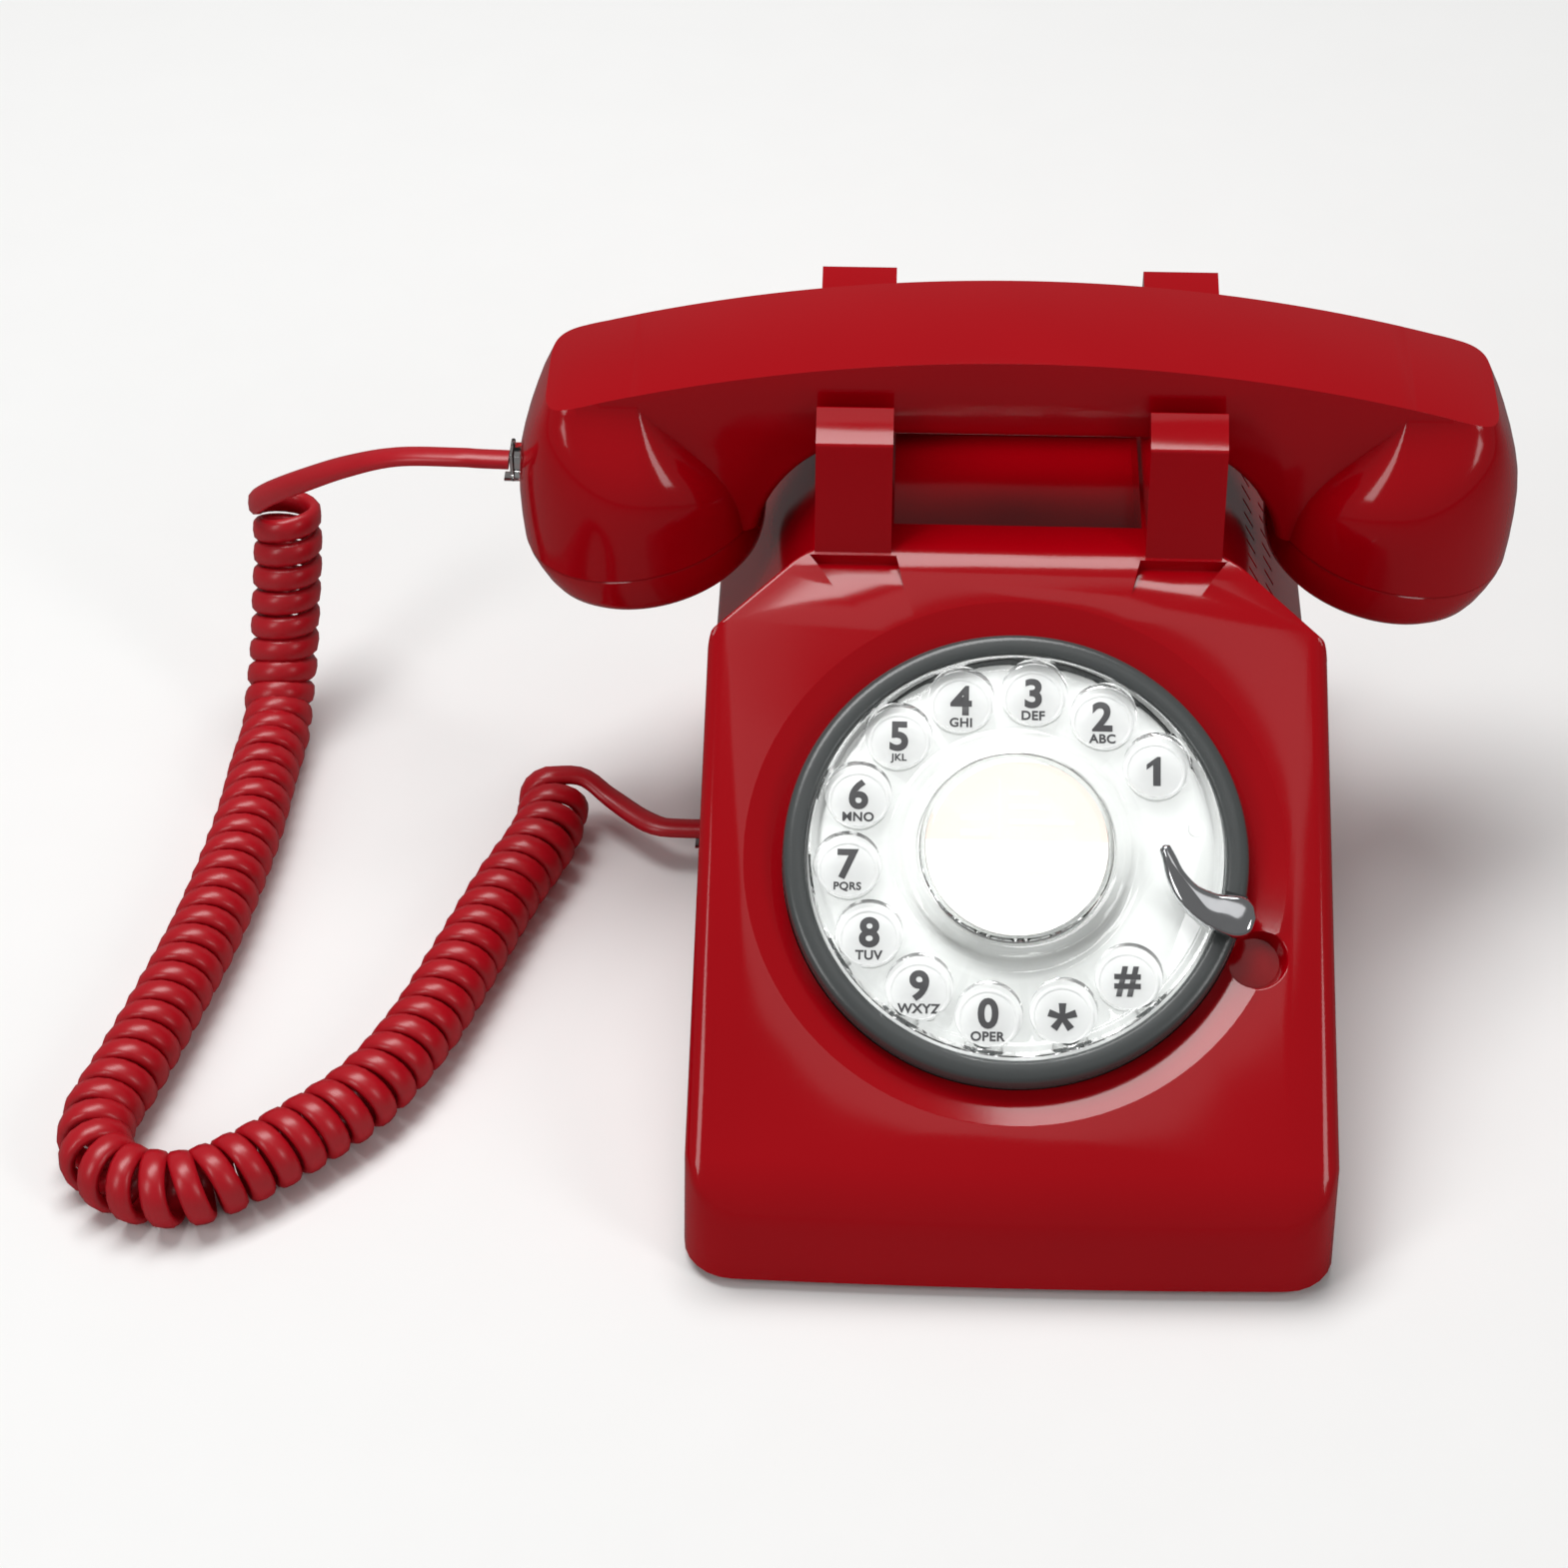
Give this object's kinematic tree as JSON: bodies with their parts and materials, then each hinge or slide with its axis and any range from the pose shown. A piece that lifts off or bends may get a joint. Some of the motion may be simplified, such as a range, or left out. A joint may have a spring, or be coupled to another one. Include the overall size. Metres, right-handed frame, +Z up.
{
  "type": "rotary telephone",
  "caption": "Desk telephone with a sloping face, rotary finger dial, centre push button, and a lift-off handset on a curly cord.",
  "frame": {"origin": "on the table, under the middle of the telephone without its cord", "axes": "+Z up; the dial faces -Y; the handset lies along X with its cord at -X"},
  "size_m": [0.3333, 0.2123, 0.143],
  "materials": {
    "red_shell": "glossy deep red moulded plastic",
    "red_cord": "satin red cord sheath",
    "black_plastic": "satin black",
    "number_face": "white with dark grey characters",
    "clear_plastic": "clear, polished",
    "chrome": "bright plated",
    "sheet_steel": "zinc plated",
    "brass": "turned",
    "white_plastic": "satin white",
    "card": "printed card",
    "foot_rubber": "matt",
    "board": "green laminate",
    "cone_paper": "pressed paper"
  },
  "bodies": {
    "base": {"housing": "red_shell", "base_plate": "black_plastic", "rubber_feet": "foot_rubber", "base_screws": "sheet_steel", "ballast_weight": "sheet_steel", "circuit_board": "board", "board_screws": "sheet_steel", "line_socket": "black_plastic", "base_socket": "black_plastic", "loudspeaker": "sheet_steel", "speaker_cone": "cone_paper", "hook_bracket": "sheet_steel", "hook_pin": "sheet_steel", "hook_switch": "black_plastic", "dial_ring": "black_plastic", "number_plate": "number_face", "finger_stop": "chrome", "finger_stop_foot": "black_plastic", "dial_frame": "sheet_steel", "dial_frame_screws": "sheet_steel", "dial_bearing": "brass", "mechanism_bridge": "sheet_steel", "return_spring": "sheet_steel", "pulse_contacts": "black_plastic", "governor_cup": "sheet_steel", "button_switch": "black_plastic", "button_spring": "sheet_steel", "handset_lead": "red_cord", "curly_cord": "red_cord", "base_lead": "red_cord", "base_plug": "clear_plastic"},
    "dial": {"finger_wheel": "clear_plastic", "wheel_hub": "brass", "dial_shaft": "sheet_steel", "drive_gear": "brass"},
    "governor": {"governor_shaft": "sheet_steel", "governor_pinion": "white_plastic", "governor_weights": "brass"},
    "centre_button": {"button_cap": "clear_plastic", "label_card": "card", "button_carrier": "white_plastic"},
    "hook_slide": {"hook_plungers": "white_plastic", "hook_yoke": "sheet_steel"},
    "hook_arm": {"hook_lever": "sheet_steel"},
    "handset": {"handset_shell": "red_shell", "receiver_cap": "red_shell", "transmitter_cap": "red_shell", "receiver_capsule": "sheet_steel", "transmitter_capsule": "black_plastic", "handset_weight": "sheet_steel", "handset_socket": "black_plastic", "handset_plug": "clear_plastic"}
  },
  "joints": [
    {"name": "dial_turn", "type": "hinge", "parent": "base", "child": "dial", "pos_m": [0, -0.03545, 0.06624], "axis": [0, 0.521, -0.8536], "range_deg": [0, 309], "stiffness_Nm_per_rad": 0.012, "springref_deg": -68.75},
    {"name": "governor_spin", "type": "hinge", "parent": "base", "child": "governor", "pos_m": [-0.03552, -0.04649, 0.05951], "axis": [0, 0.521, -0.8536], "range_deg": [-1240, 4]},
    {"name": "button_press", "type": "slide", "parent": "base", "child": "centre_button", "axis": [0, 0.521, -0.8536], "range_m": [0, 0.0014], "stiffness_N_per_m": 700, "springref_m": -0.001},
    {"name": "handset_lift", "type": "slide", "parent": "base", "child": "handset", "axis": [0, 0, 1], "range_m": [0, 0.12]},
    {"name": "hook_rise", "type": "slide", "parent": "base", "child": "hook_slide", "axis": [0, 0, 1], "range_m": [0, 0.0062]},
    {"name": "hook_swing", "type": "hinge", "parent": "base", "child": "hook_arm", "pos_m": [0, 0.088, 0.06852], "axis": [-1, 0, 0], "range_deg": [-1, 13]}
  ],
  "couplings": [
    {"joint": "governor_spin", "follows": "dial_turn", "ratio": -4},
    {"joint": "hook_rise", "follows": "handset_lift", "ratio": 0.05},
    {"joint": "hook_swing", "follows": "handset_lift", "rad_per_m": 1.75}
  ]
}
